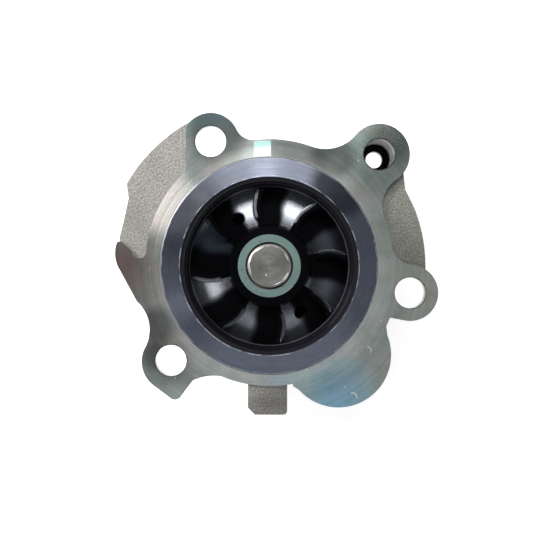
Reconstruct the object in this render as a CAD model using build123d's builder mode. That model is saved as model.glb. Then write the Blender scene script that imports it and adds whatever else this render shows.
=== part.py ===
from build123d import *
import os
from math import cos, pi, radians, sin, sqrt

# Automotive coolant pump, driven by the toothed timing belt.
#
# Origin: where the shaft axis crosses the machined flange face that bolts to the engine block.
# +Z runs along the shaft to the impeller, which reaches into the block. -Z is the belt side, and the
# pump stands on the end of its pulley. All sizes are in millimetres.

os.makedirs("parts", exist_ok=True)

# ---------------------------------------------------------------- driving dimensions

# Fits
press_gap = 0.01  # radial room left at a press fit, so that two solids share no volume
running_gap = 0.05  # radial room of rolling elements and rubbing lips
film_gap = 0.02  # coolant film between the two seal faces

# Flange, in plan
disc_radius = 35.8
disc_shift = 1.0  # the flange disc sits this much above the shaft axis
upper_left_lug = (-17.0, 36.1)
upper_left_lug_radius = 8.3
upper_left_pad_edge = -24.2  # straight left edge of the machined pad below this lug
upper_right_lug = (31.9, 32.4)
upper_right_lug_radius = 8.85
right_lug = (40.8, -7.8)
right_lug_radius = 8.15
lower_left_hole = (-28.5, -27.4)
lobe_centre = (20.0, -25.7)
lobe_radius = 15.3
left_wing_radius = 48.0
right_wing_radius = 45.5
tab_left = -6.2
tab_right = 5.2
tab_end = -43.2
tab_chamfer = 2.0
tab_round = 1.2

# Flange, along the shaft
plate_depth = 7.0
wing_drop = 3.0  # the as-cast wings lie this much below the machined face
tab_drop = 1.5
edge_break = 0.25

# Holes in the flange
bolt_hole_radius = 4.5  # clearance for M8
boss_bore_radius = 4.5
boss_bore_depth = 29.0
boss_end = -34.0
screw_boss_radius = 8.4  # a little inside the lug's outline
tapped_hole_radius = 2.5  # tapping size of M6

# Block spigot and its O-ring
spigot_radius = 30.6
spigot_height = 10.0
spigot_lead = 0.6
ring_groove_floor = 28.6
ring_groove_low = 2.2
ring_groove_high = 5.2

# Bearing boss and the chambers along the shaft
boss_radius = 19.5
bearing_radius = 15.0
bearing_front = -11.0
bearing_back = -40.0
chamber_radius = 11.0
seal_seat_radius = 13.0
seal_seat_bottom = -5.0
seal_pocket_radius = 17.0
seal_pocket_floor = 1.4
weep_radius = 1.75
weep_level = -9.2

# Shaft
shaft_radius = 8.0
nose_radius = 6.0
nose_start = -10.6
shaft_front = 25.4
shaft_chamfer = 0.5

# Bearing rows
race_radius = 12.3
ball_radius = 3.175
ball_pitch_radius = 10.4
ball_row = -32.0
ball_count = 8
roller_radius = 2.1
roller_length = 9.0
roller_pitch_radius = shaft_radius + roller_radius + running_gap
roller_row = -19.0
roller_count = 12
bearing_seal_radius = 13.2
bearing_seal_depth = 2.2
bearing_seal_width = 1.8

# Impeller
impeller_radius = 30.1
impeller_back = 11.5
plate_top = 14.5
hub_radius = 11.3
hub_top = 25.0
bush_radius = 8.7
bush_bottom = 10.5
eye_radius = 24.5
throat_radius = 21.7
eye_face = 28.0
rim_face = 27.0
shroud_under = 22.9
vane_count = 8
vane_thickness = 2.0
vane_start_angle = 10.5
balance_hole_radius = 1.8
balance_hole_pitch = 15.8
balance_hole_angle = 124.0

# Toothed pulley: 20 teeth at 9.525 mm pitch
tooth_count = 20
tooth_pitch = 9.525
pitch_line_offset = 0.38  # the belt's pitch line runs this much outside the tooth tips
tooth_groove_radius = 2.45
pulley_back = -50.0
rim_front = -28.0
rim_inner_radius = 25.5
web_front = -41.5
web_back = -45.5
pulley_hub_radius = 13.0
web_hole_radius = 3.2
web_hole_pitch = 19.2
web_hole_count = 6

disc = ((0.0, disc_shift), disc_radius)
upper_left = (upper_left_lug, upper_left_lug_radius)
upper_right = (upper_right_lug, upper_right_lug_radius)
right = (right_lug, right_lug_radius)


def polar(radius, angle):
    """Point at a radius and an angle in degrees about the shaft axis."""
    return (radius * cos(radians(angle)), radius * sin(radians(angle)))


def crossing(first, second, side):
    """Where two circles, each (centre, radius), cross: side 1 is left of the centre line, -1 right."""
    (ax, ay), a_radius = first
    (bx, by), b_radius = second
    dx, dy = bx - ax, by - ay
    gap = sqrt(dx * dx + dy * dy)
    along = (gap * gap + a_radius * a_radius - b_radius * b_radius) / (2 * gap)
    across = side * sqrt(a_radius * a_radius - along * along)
    return (ax + (along * dx - across * dy) / gap, ay + (along * dy + across * dx) / gap)


def bridge(first, second, side, round_radius):
    """Fill between two circles, up to a concave arc that touches both. Sides are as in crossing."""
    (a_centre, a_radius), (b_centre, b_radius) = first, second
    arc_centre = Vector(
        *crossing((a_centre, a_radius + round_radius), (b_centre, b_radius + round_radius), side)
    )
    start = Vector(*a_centre) + (arc_centre - Vector(*a_centre)).normalized() * a_radius
    end = Vector(*b_centre) + (arc_centre - Vector(*b_centre)).normalized() * b_radius
    middle = arc_centre + ((start + end) / 2 - arc_centre).normalized() * round_radius
    with BuildSketch(mode=Mode.PRIVATE) as filling:
        with BuildLine():
            Line(a_centre, start)
            ThreePointArc(start, middle, end)
            Line(end, b_centre)
            Line(b_centre, a_centre)
        make_face()
    return filling.sketch


def shaft_plane(angle):
    """Plane through the shaft axis: its X runs outward at the angle, its Y runs along the shaft."""
    outward = (cos(radians(angle)), sin(radians(angle)), 0)
    return Plane(origin=(0, 0, 0), x_dir=outward, z_dir=(outward[1], -outward[0], 0))


def save(piece, name):
    """Label a finished piece and write it as one STEP file."""
    piece.part.label = name
    export_step(piece.part, f"parts/{name}.step")


# ---------------------------------------------------------------- flange outlines

# Machined pad: one disc, the bolt lugs, a broad lobe and a left arm.
with BuildSketch() as pad_outline:
    with Locations(disc[0]):
        Circle(disc_radius)

    # Upper-left lug, cut straight where the left wing begins
    with Locations(upper_left_lug):
        Circle(upper_left_lug_radius)
    neck_width = upper_left_lug[0] - upper_left_pad_edge
    with Locations((upper_left_pad_edge, upper_left_lug[1])):
        Rectangle(neck_width, upper_left_lug[1], align=(Align.MIN, Align.MAX))
        Rectangle(
            neck_width, 2 * upper_left_lug_radius, align=(Align.MAX, Align.CENTER), mode=Mode.SUBTRACT
        )

    # Upper-right lug, over the deep screw boss
    with Locations(upper_right_lug):
        Circle(upper_right_lug_radius)

    # Right lug, on a parallel-sided neck that points at the shaft
    right_lug_reach = sqrt(right_lug[0] ** 2 + right_lug[1] ** 2)
    with Locations(right_lug):
        Circle(right_lug_radius)
    right_lug_turn = -Vector(*right_lug).get_angle(Vector(1, 0, 0))
    Rectangle(
        right_lug_reach, 2 * right_lug_radius, rotation=right_lug_turn, align=(Align.MIN, Align.CENTER)
    )

    # Lower-right lobe, with a straight edge down to it from the disc
    with Locations(lobe_centre):
        Circle(lobe_radius)
    lobe_shoulder = (6.9, -30.0)
    lobe_corner = (6.9, -34.8)
    lobe_foot = (14.4, -39.9)
    Polygon(lobe_centre, lobe_shoulder, lobe_corner, lobe_foot)
    # Gusset between the lobe and the right lug
    gusset_foot = (34.2, -20.0)
    gusset_middle = (33.9, -17.5)
    gusset_corner = (34.8, -15.4)
    gusset_root = (24.0, -12.0)
    Polygon(gusset_root, lobe_centre, gusset_foot, gusset_middle, gusset_corner, right_lug)

    # Left arm: pocket wall, lobe, neck, lower-left lug with its pointed foot, hollow edge
    arm_root = (-34.4, 8.0)
    pocket_inner = (-35.4, 4.3)
    pocket_bottom = (-37.7, 2.2)
    pocket_outer = (-40.2, 4.2)
    arm_tip = (-43.7, 8.0)
    arm_outer = (-44.7, 3.5)
    arm_shoulder = (-43.2, -1.4)
    arm_elbow = (-38.4, -10.2)
    arm_neck = (-34.7, -19.0)
    lug_start = (-36.3, -24.2)
    lug_side = (-37.0, -27.4)
    lug_end = (-33.7, -34.5)
    foot_left = (-28.8, -38.1)
    foot_tip = (-27.4, -38.7)
    foot_right = (-25.9, -38.2)
    hollow_start = (-22.2, -33.2)
    hollow_middle = (-16.4, -31.8)
    hollow_end = (-10.4, -33.0)
    with BuildLine():
        Line((0, 0), arm_root)
        Line(arm_root, pocket_inner)
        ThreePointArc(pocket_inner, pocket_bottom, pocket_outer)
        Line(pocket_outer, arm_tip)
        ThreePointArc(arm_tip, arm_outer, arm_shoulder)
        Line(arm_shoulder, arm_elbow)
        ThreePointArc(arm_elbow, arm_neck, lug_start)
        ThreePointArc(lug_start, lug_side, lug_end)
        Line(lug_end, foot_left)
        ThreePointArc(foot_left, foot_tip, foot_right)
        Line(foot_right, hollow_start)
        ThreePointArc(hollow_start, hollow_middle, hollow_end)
        Line(hollow_end, (0, 0))
    make_face()

    # Concave rounds where the lugs leave the disc
    upper_left_round = 5.3
    upper_right_inner_round = 11.5
    upper_right_outer_round = 9.2
    right_round = 6.3
    add(bridge(disc, upper_left, -1, upper_left_round))
    add(bridge(disc, upper_right, 1, upper_right_inner_round))
    add(bridge(disc, upper_right, -1, upper_right_outer_round))
    add(bridge(disc, right, 1, right_round))
    pad_edge_foot = (upper_left_pad_edge, 27.5)
    pad_edge_round = 2.5
    arm_tip_round = 1.0
    gusset_round = 0.8
    for corner, round_radius in (
        (pad_edge_foot, pad_edge_round),
        (arm_tip, arm_tip_round),
        (gusset_corner, gusset_round),
        (gusset_middle, gusset_round),
    ):
        fillet(pad_outline.vertices().sort_by_distance(corner)[0], round_radius)

# Wings: the as-cast edges of the same casting, one on each side of the pad.
with BuildSketch() as wing_outline:
    left_wing_start = 112  # degrees about the shaft axis
    left_wing_span = 38
    left_nick = (-41.0, 19.7)
    left_nick_round = 1.5
    left_step = (-42.6, 12.4)
    left_root_outer = (-41.5, 0)  # the wings' inner corners lie under the pad
    left_root_low = (-30.0, -4.0)
    left_root_high = (-12.0, 30.0)
    with BuildLine():
        left_edge = CenterArc((0, 0), left_wing_radius, left_wing_start, left_wing_span)
        Line(left_edge @ 1, left_nick)
        Line(left_nick, left_step)
        Line(left_step, arm_tip)
        Line(arm_tip, left_root_outer)
        Line(left_root_outer, left_root_low)
        Line(left_root_low, left_root_high)
        Line(left_root_high, left_edge @ 0)
    make_face()
    right_wing_start = -6
    right_wing_span = 28.5
    right_step = (39.6, 22.2)
    right_notch = (39.1, 27.0)
    right_root = (25.0, 0)
    with BuildLine():
        right_edge = CenterArc((0, 0), right_wing_radius, right_wing_start, right_wing_span)
        Line(right_edge @ 1, right_step)
        Line(right_step, right_notch)
        Line(right_notch, upper_right_lug)
        Line(upper_right_lug, right_root)
        Line(right_root, right_edge @ 0)
    make_face()
    fillet(wing_outline.vertices().sort_by_distance(left_nick)[0], left_nick_round)

with BuildSketch() as tab_outline:
    tab_depth = -tab_end
    with Locations((tab_left, 0)):
        Rectangle(tab_right - tab_left, tab_depth, align=(Align.MIN, Align.MAX))
    chamfer(tab_outline.vertices().sort_by_distance((tab_left, tab_end))[0], tab_chamfer)
    fillet(tab_outline.vertices().sort_by_distance((tab_right, tab_end))[0], tab_round)

# ---------------------------------------------------------------- casting

rib_width = 4.0
rib_root = bearing_radius + 2  # ribs start inside the wall of the bearing boss
rib_top = -plate_depth + 1  # and inside the flange
rib_toe = -plate_depth - 2.0  # ribs are this deep where they end
short_rib = -17.0
long_rib = -24.0
rib_ends = (  # angle, and reach from the shaft axis: short of the bolt heads at the three lugs
    (115.2, 30.5),
    (223.9, 30.5),
    (349.2, 32.0),
    (307.9, 38.0),
    (180.0, 38.0),
)
boss_rib_angle = 45.4
boss_rib_reach = 40.0

with BuildPart() as pump_body:
    with BuildSketch(Plane.XY.offset(-plate_depth)):
        add(pad_outline.sketch)
    extrude(amount=plate_depth)
    with BuildSketch(Plane.XY.offset(-plate_depth)):
        add(wing_outline.sketch)
    extrude(amount=plate_depth - wing_drop)
    with BuildSketch(Plane.XY.offset(-plate_depth)):
        add(tab_outline.sketch)
    extrude(amount=plate_depth - tab_drop)

    # Block spigot with its lead-in and O-ring groove
    with BuildSketch(Plane.XZ):
        with BuildLine():
            Polyline(
                (0, 0),
                (spigot_radius, 0),
                (spigot_radius, ring_groove_low),
                (ring_groove_floor, ring_groove_low),
                (ring_groove_floor, ring_groove_high),
                (spigot_radius, ring_groove_high),
                (spigot_radius, spigot_height - spigot_lead),
                (spigot_radius - spigot_lead, spigot_height),
                (0, spigot_height),
                close=True,
            )
        make_face()
    revolve(axis=Axis.Z)

    # Bearing boss, deep screw boss and the ribs that carry them
    with BuildSketch(Plane.XY.offset(-plate_depth)):
        Circle(boss_radius)
    extrude(amount=bearing_back + plate_depth)
    with BuildSketch(Plane.XY.offset(-plate_depth)):
        with Locations(upper_right_lug):
            Circle(screw_boss_radius)
    extrude(amount=boss_end + plate_depth)
    for angle, reach in rib_ends:
        with BuildSketch(shaft_plane(angle)):
            Polygon(
                (rib_root, rib_top),
                (rib_root, short_rib),
                (boss_radius, short_rib),
                (reach, rib_toe),
                (reach, rib_top),
            )
        extrude(amount=rib_width / 2, both=True)
    with BuildSketch(shaft_plane(boss_rib_angle)):
        Polygon(
            (rib_root, rib_top),
            (rib_root, long_rib),
            (boss_rib_reach, long_rib),
            (boss_rib_reach, rib_top),
        )
    extrude(amount=rib_width / 2, both=True)

    # Stepped hollow along the shaft: seal pocket, seal seat, leak chamber, bearing seat
    with BuildSketch(Plane.XZ):
        with BuildLine():
            Polyline(
                (0, spigot_height),
                (seal_pocket_radius, spigot_height),
                (seal_pocket_radius, seal_pocket_floor),
                (seal_seat_radius, seal_pocket_floor),
                (seal_seat_radius, seal_seat_bottom),
                (chamber_radius, seal_seat_bottom),
                (chamber_radius, bearing_front),
                (bearing_radius, bearing_front),
                (bearing_radius, bearing_back),
                (0, bearing_back),
                close=True,
            )
        make_face()
    revolve(axis=Axis.Z, mode=Mode.SUBTRACT)

    # Weep hole from the leak chamber, straight down between two ribs
    with BuildSketch(Plane.XZ):
        with Locations((0, weep_level)):
            Circle(weep_radius)
    extrude(amount=boss_radius + 1, mode=Mode.SUBTRACT)

    # Bolt holes, and the deep bore with its tapped end
    with Locations(upper_left_lug, right_lug, lower_left_hole):
        Hole(bolt_hole_radius)
    with Locations(upper_right_lug):
        CounterBoreHole(tapped_hole_radius, boss_bore_radius, boss_bore_depth)

    # The hole mouths in the machined face are lightly broken.
    face_circles = pump_body.edges().filter_by_position(Axis.Z, 0, 0).filter_by(GeomType.CIRCLE)
    chamfer([edge for edge in face_circles if edge.radius == bolt_hole_radius], edge_break)

save(pump_body, "pump_body")

with BuildPart() as flange_o_ring:
    ring_width = ring_groove_high - ring_groove_low - 2 * running_gap
    ring_depth = spigot_radius - ring_groove_floor - 2 * running_gap
    with BuildSketch(Plane.XZ):
        with Locations(
            ((spigot_radius + ring_groove_floor) / 2, (ring_groove_low + ring_groove_high) / 2)
        ):
            RectangleRounded(ring_depth, ring_width, ring_depth / 2 - running_gap)
    revolve(axis=Axis.Z)
save(flange_o_ring, "flange_o_ring")

# ---------------------------------------------------------------- bearing

ball_groove_radius = ball_radius + running_gap

with BuildPart() as bearing_outer_ring:
    with BuildSketch(Plane.XZ):
        with BuildLine():
            Polyline(
                (race_radius, bearing_front - bearing_seal_depth),
                (bearing_seal_radius, bearing_front - bearing_seal_depth),
                (bearing_seal_radius, bearing_front),
                (bearing_radius - press_gap, bearing_front),
                (bearing_radius - press_gap, bearing_back),
                (bearing_seal_radius, bearing_back),
                (bearing_seal_radius, bearing_back + bearing_seal_depth),
                (race_radius, bearing_back + bearing_seal_depth),
                close=True,
            )
        make_face()
        with Locations((ball_pitch_radius, ball_row)):
            Circle(ball_groove_radius, mode=Mode.SUBTRACT)
    revolve(axis=Axis.Z)
save(bearing_outer_ring, "bearing_outer_ring")


def bearing_seal(level, facing):
    """Rubber lip seal at one end of the bearing. level is its outer face, facing 1 opens to the front."""
    inner = level - facing * bearing_seal_width
    wall_radius = race_radius - 1.0
    web = inner + facing * 1.0
    lip_root = shaft_radius + 1.4
    lip_radius = shaft_radius + running_gap
    lip_inner = inner + facing * 0.3
    lip_outer = inner + facing * 0.8
    with BuildPart() as seal:
        with BuildSketch(Plane.XZ):
            with BuildLine():
                Polyline(
                    (bearing_seal_radius - press_gap, level),
                    (bearing_seal_radius - press_gap, inner),
                    (wall_radius, inner),
                    (wall_radius, web),
                    (lip_root, web),
                    (lip_radius, lip_inner),
                    (lip_radius, lip_outer),
                    (lip_root, level),
                    close=True,
                )
            make_face()
        revolve(axis=Axis.Z)
    return seal


seal_inset = 0.3
save(bearing_seal(bearing_front - seal_inset, 1), "front_bearing_seal")
save(bearing_seal(bearing_back + seal_inset, -1), "rear_bearing_seal")

with BuildPart() as bearing_balls:
    with Locations(Plane.XY.offset(ball_row)):
        with PolarLocations(ball_pitch_radius, ball_count):
            Sphere(ball_radius)
save(bearing_balls, "bearing_balls")

ball_pocket_gap = 0.12
ball_cage_half_wall = 0.9
ball_cage_back = 0.8  # solid ring behind the balls
ball_cage_fingers = 1.2  # the open fingers reach this far past the balls' centres
with BuildPart() as ball_cage:
    cage_low = ball_row - ball_radius - ball_cage_back
    with BuildSketch(Plane.XY.offset(cage_low)):
        Circle(ball_pitch_radius + ball_cage_half_wall)
        Circle(ball_pitch_radius - ball_cage_half_wall, mode=Mode.SUBTRACT)
    extrude(amount=ball_cage_back + ball_radius + ball_cage_fingers)
    with Locations(Plane.XY.offset(ball_row)):
        with PolarLocations(ball_pitch_radius, ball_count):
            Sphere(ball_radius + ball_pocket_gap, mode=Mode.SUBTRACT)
save(ball_cage, "ball_cage")

with BuildPart() as bearing_rollers:
    with BuildSketch(Plane.XY.offset(roller_row - roller_length / 2)):
        with PolarLocations(roller_pitch_radius, roller_count):
            Circle(roller_radius)
    extrude(amount=roller_length)
save(bearing_rollers, "bearing_rollers")

roller_pocket_gap = 0.12
roller_cage_margin = 1.4
roller_cage_half_wall = 0.8
with BuildPart() as roller_cage:
    with BuildSketch(Plane.XY.offset(roller_row - roller_length / 2 - roller_cage_margin)):
        Circle(roller_pitch_radius + roller_cage_half_wall)
        Circle(roller_pitch_radius - roller_cage_half_wall, mode=Mode.SUBTRACT)
    extrude(amount=roller_length + 2 * roller_cage_margin)
    with BuildSketch(Plane.XY.offset(roller_row - roller_length / 2 - roller_pocket_gap)):
        with PolarLocations(roller_pitch_radius, roller_count):
            Circle(roller_radius + roller_pocket_gap)
    extrude(amount=roller_length + 2 * roller_pocket_gap, mode=Mode.SUBTRACT)
save(roller_cage, "roller_cage")

# ---------------------------------------------------------------- shaft

with BuildPart() as pump_shaft:
    with BuildSketch(Plane.XZ):
        with BuildLine():
            Polyline(
                (0, pulley_back),
                (shaft_radius - shaft_chamfer, pulley_back),
                (shaft_radius, pulley_back + shaft_chamfer),
                (shaft_radius, nose_start - shaft_chamfer),
                (shaft_radius - shaft_chamfer, nose_start),
                (nose_radius, nose_start),
                (nose_radius, shaft_front - shaft_chamfer),
                (nose_radius - shaft_chamfer, shaft_front),
                (0, shaft_front),
                close=True,
            )
        make_face()
        with Locations((ball_pitch_radius, ball_row)):
            Circle(ball_groove_radius, mode=Mode.SUBTRACT)
    revolve(axis=Axis.Z)
save(pump_shaft, "pump_shaft")

slinger_back = -10.3
slinger_front = -8.2
slinger_root_radius = nose_radius + 1.6
slinger_radius = chamber_radius - 1.4
slinger_lip = 0.5
with BuildPart() as slinger_ring:
    with BuildSketch(Plane.XZ):
        with BuildLine():
            Polyline(
                (nose_radius + press_gap, slinger_back),
                (slinger_root_radius, slinger_back),
                (slinger_radius, slinger_front - slinger_lip),
                (slinger_radius, slinger_front),
                (nose_radius + press_gap, slinger_front),
                close=True,
            )
        make_face()
    revolve(axis=Axis.Z)
save(slinger_ring, "slinger_ring")

# ---------------------------------------------------------------- mechanical seal

sheet = 0.5  # thickness of the pressed steel parts
case_floor = seal_seat_bottom + 0.1
case_inner_radius = 7.6
case_inner_top = 0.0
case_flange_radius = 15.6

with BuildPart() as seal_case:
    with BuildSketch(Plane.XZ):
        with BuildLine():
            Polyline(
                (case_inner_radius, case_floor),
                (seal_seat_radius - press_gap, case_floor),
                (seal_seat_radius - press_gap, seal_pocket_floor),
                (case_flange_radius, seal_pocket_floor),
                (case_flange_radius, seal_pocket_floor + sheet),
                (seal_seat_radius - sheet, seal_pocket_floor + sheet),
                (seal_seat_radius - sheet, case_floor + sheet),
                (case_inner_radius + sheet, case_floor + sheet),
                (case_inner_radius + sheet, case_inner_top),
                (case_inner_radius, case_inner_top),
                close=True,
            )
        make_face()
    revolve(axis=Axis.Z)
save(seal_case, "seal_case")

spring_wire_radius = 0.4
spring_radius = 11.6
spring_turns = 3.5
spring_low = case_floor + sheet + spring_wire_radius + running_gap
retainer_low = 3.0
spring_high = retainer_low - spring_wire_radius - running_gap

with BuildPart() as seal_spring:
    with BuildLine() as coil:
        spring_height = spring_high - spring_low
        Helix(spring_height / spring_turns, spring_height, spring_radius, center=(0, 0, spring_low))
    with BuildSketch(Plane(origin=coil.line @ 0, z_dir=coil.line % 0)):
        Circle(spring_wire_radius)
    sweep(path=coil.line, is_frenet=True)
save(seal_spring, "seal_spring")

bellows_low = case_floor + sheet
bellows_inner_radius = 8.3
bellows_outer_radius = 10.7
bellows_wall = 0.8
with BuildPart() as seal_bellows:
    fold_height = (retainer_low - bellows_low) / 4
    fold_radii = (bellows_outer_radius, bellows_inner_radius + bellows_wall)
    outer_side = [(fold_radii[fold % 2], bellows_low + fold * fold_height) for fold in range(5)]
    inner_side = [(radius - bellows_wall, level) for radius, level in reversed(outer_side)]
    with BuildSketch(Plane.XZ):
        with BuildLine():
            Polyline(*outer_side, *inner_side, close=True)
        make_face()
    revolve(axis=Axis.Z)
save(seal_bellows, "seal_bellows")

carbon_radius = 10.2
carbon_top = 6.4
nose_face = 7.2
retainer_radius = spring_radius + 0.6
retainer_wall_top = carbon_top - 0.6
with BuildPart() as spring_retainer:
    with BuildSketch(Plane.XZ):
        with BuildLine():
            Polyline(
                (bellows_inner_radius, retainer_low),
                (retainer_radius, retainer_low),
                (retainer_radius, retainer_low + sheet),
                (carbon_radius + press_gap + sheet, retainer_low + sheet),
                (carbon_radius + press_gap + sheet, retainer_wall_top),
                (carbon_radius + press_gap, retainer_wall_top),
                (carbon_radius + press_gap, retainer_low + sheet),
                (bellows_inner_radius, retainer_low + sheet),
                close=True,
            )
        make_face()
    revolve(axis=Axis.Z)
save(spring_retainer, "spring_retainer")

carbon_bore = 7.3
nose_outer = carbon_radius - 0.9  # the narrow nose that rubs
nose_inner = carbon_bore + 0.5
with BuildPart() as carbon_ring:
    with BuildSketch(Plane.XZ):
        with BuildLine():
            Polyline(
                (carbon_bore, retainer_low + sheet),
                (carbon_radius, retainer_low + sheet),
                (carbon_radius, carbon_top),
                (nose_outer, carbon_top),
                (nose_outer, nose_face - film_gap),
                (nose_inner, nose_face - film_gap),
                (nose_inner, carbon_top),
                (carbon_bore, carbon_top),
                close=True,
            )
        make_face()
    revolve(axis=Axis.Z)
save(carbon_ring, "carbon_ring")

counter_radius = 10.6
counter_bore = carbon_bore - 0.2
counter_back = 8.9
counter_edge = 0.2
boot_lip = nose_face + 0.3
boot_back = 9.6
sleeve_outer_radius = 11.9

with BuildPart() as counter_ring:
    with BuildSketch(Plane.XZ):
        with Locations((counter_bore, nose_face)):
            Rectangle(
                counter_radius - counter_bore, counter_back - nose_face, align=(Align.MIN, Align.MIN)
            )
    revolve(axis=Axis.Z)
    chamfer(counter_ring.edges().filter_by(GeomType.CIRCLE).group_by(Axis.Z)[-1], counter_edge)
save(counter_ring, "counter_ring")

boot_side = sleeve_outer_radius - sheet - press_gap
with BuildPart() as counter_ring_boot:
    with BuildSketch(Plane.XZ):
        with BuildLine():
            Polyline(
                (nose_radius + sheet + press_gap, counter_back),
                (counter_radius, counter_back),
                (counter_radius, boot_lip),
                (boot_side, boot_lip),
                (boot_side, boot_back),
                (nose_radius + sheet + press_gap, boot_back),
                close=True,
            )
        make_face()
    revolve(axis=Axis.Z)
save(counter_ring_boot, "counter_ring_boot")

sleeve_back = -4.0
sleeve_rim = 8.0
with BuildPart() as seal_sleeve:
    with BuildSketch(Plane.XZ):
        with BuildLine():
            Polyline(
                (nose_radius + press_gap, sleeve_back),
                (nose_radius + sheet, sleeve_back),
                (nose_radius + sheet, boot_back),
                (sleeve_outer_radius - sheet, boot_back),
                (sleeve_outer_radius - sheet, sleeve_rim),
                (sleeve_outer_radius, sleeve_rim),
                (sleeve_outer_radius, boot_back + sheet),
                (nose_radius + press_gap, boot_back + sheet),
                close=True,
            )
        make_face()
    revolve(axis=Axis.Z)
save(seal_sleeve, "seal_sleeve")

# ---------------------------------------------------------------- impeller

hub_back_radius = 13.0
bowl_middle = (12.35, 18.65)
bowl_end = (16.0, 16.5)
hub_round = 2.2
bush_mouth_radius = 6.6  # the bore opens out a little around the shaft's end
bush_mouth_depth = 1.2

with BuildPart() as impeller_bush:
    with BuildSketch(Plane.XY.offset(bush_bottom)):
        Circle(bush_radius - press_gap)
        Circle(nose_radius + press_gap, mode=Mode.SUBTRACT)
    extrude(amount=hub_top - bush_bottom)
    with BuildSketch(Plane.XY.offset(hub_top)):
        Circle(bush_mouth_radius)
    extrude(amount=-bush_mouth_depth, mode=Mode.SUBTRACT)
save(impeller_bush, "impeller_bush")

# Vanes: their leading edges are nearly radial in the eye, then they curl back to the rim.
vane_path = ((12.6, -0.5), (17.5, 1.0), (throat_radius, -5.0), (25.5, -17.0), (29.6, -36.0))
vane_tip_radius = impeller_radius - 0.3
vane_root = impeller_back + 0.5  # inside the back plate
leading_edge_low = (13.2, 19.0)
leading_edge_high = (throat_radius - 0.3, 24.4)
shroud_gap = 0.02
throat_step = (throat_radius + 0.6, shroud_under + 0.5)  # the shroud's inner corner is cut off
throat_foot = (throat_radius + 2.0, shroud_under)

with BuildPart() as vanes:
    with BuildSketch(Plane.XY.offset(impeller_back)):
        with BuildLine():
            for index in range(vane_count):
                turn = vane_start_angle + index * 360 / vane_count
                Spline(*(polar(radius, turn + angle) for radius, angle in vane_path))
        trace(line_width=vane_thickness)
    extrude(amount=hub_top - impeller_back)
    with BuildSketch(Plane.XZ):
        with BuildLine():
            Polyline(
                (leading_edge_low[0], vane_root),
                leading_edge_low,
                leading_edge_high,
                (throat_step[0], throat_step[1] - shroud_gap),
                (throat_foot[0], throat_foot[1] - shroud_gap),
                (vane_tip_radius, shroud_under - shroud_gap),
                (vane_tip_radius, vane_root),
                close=True,
            )
        make_face()
    revolve(axis=Axis.Z, mode=Mode.INTERSECT)

with BuildPart() as impeller:
    with BuildSketch(Plane.XZ):
        with BuildLine():
            hub_shoulder = (hub_radius - hub_round, hub_top)
            Line((bush_radius, hub_top), hub_shoulder)
            hub_edge = RadiusArc(hub_shoulder, (hub_radius, hub_top - hub_round), hub_round)
            ThreePointArc(hub_edge @ 1, bowl_middle, bowl_end)
            Polyline(
                bowl_end,
                (impeller_radius, plate_top),
                (impeller_radius, impeller_back),
                (hub_back_radius, impeller_back),
                (hub_back_radius, bush_bottom),
                (bush_radius, bush_bottom),
                (bush_radius, hub_top),
            )
        make_face()
    revolve(axis=Axis.Z)
    add(vanes.part)
    with BuildSketch(Plane.XY.offset(impeller_back)):
        with PolarLocations(balance_hole_pitch, 2, start_angle=balance_hole_angle):
            Circle(balance_hole_radius)
    extrude(amount=hub_top - impeller_back, mode=Mode.SUBTRACT)
save(impeller, "impeller")

lip_radius = 23.4
lip_depth = 0.7
bell_middle = (throat_radius + 0.4, leading_edge_high[1] + 1.3)
rim_round = 0.4
with BuildPart() as impeller_shroud:
    with BuildSketch(Plane.XZ):
        with BuildLine():
            Polyline(
                (eye_radius, eye_face - lip_depth),
                (eye_radius, eye_face),
                (impeller_radius, rim_face),
                (impeller_radius, shroud_under),
                throat_foot,
                throat_step,
                (throat_radius, leading_edge_high[1]),
            )
            ThreePointArc(
                (throat_radius, leading_edge_high[1]), bell_middle, (lip_radius, eye_face - lip_depth)
            )
            Line((lip_radius, eye_face - lip_depth), (eye_radius, eye_face - lip_depth))
        make_face()
    revolve(axis=Axis.Z)
    rim_edges = impeller_shroud.edges().filter_by(GeomType.CIRCLE).sort_by(SortBy.RADIUS)[-2:]
    fillet(rim_edges.sort_by(Axis.Z)[-1], rim_round)
save(impeller_shroud, "impeller_shroud")

# ---------------------------------------------------------------- pulley

pulley_radius = tooth_count * tooth_pitch / (2 * pi) - pitch_line_offset
with BuildPart() as toothed_pulley:
    with BuildSketch(Plane.XY.offset(pulley_back)):
        Circle(pulley_radius)
        with PolarLocations(pulley_radius, tooth_count):
            Circle(tooth_groove_radius, mode=Mode.SUBTRACT)
    extrude(amount=rim_front - pulley_back)
    # Open front, which takes the bearing boss
    with BuildSketch(Plane.XY.offset(web_front)):
        Circle(rim_inner_radius)
    extrude(amount=rim_front - web_front, mode=Mode.SUBTRACT)
    # Recess in the back, around the hub
    with BuildSketch(Plane.XY.offset(pulley_back)):
        Circle(rim_inner_radius)
        Circle(pulley_hub_radius, mode=Mode.SUBTRACT)
    extrude(amount=web_back - pulley_back, mode=Mode.SUBTRACT)
    with BuildSketch(Plane.XY.offset(pulley_back)):
        Circle(shaft_radius + press_gap)
        with PolarLocations(web_hole_pitch, web_hole_count):
            Circle(web_hole_radius)
    extrude(amount=web_front - pulley_back, mode=Mode.SUBTRACT)
save(toothed_pulley, "toothed_pulley")
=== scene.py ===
import math

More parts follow.
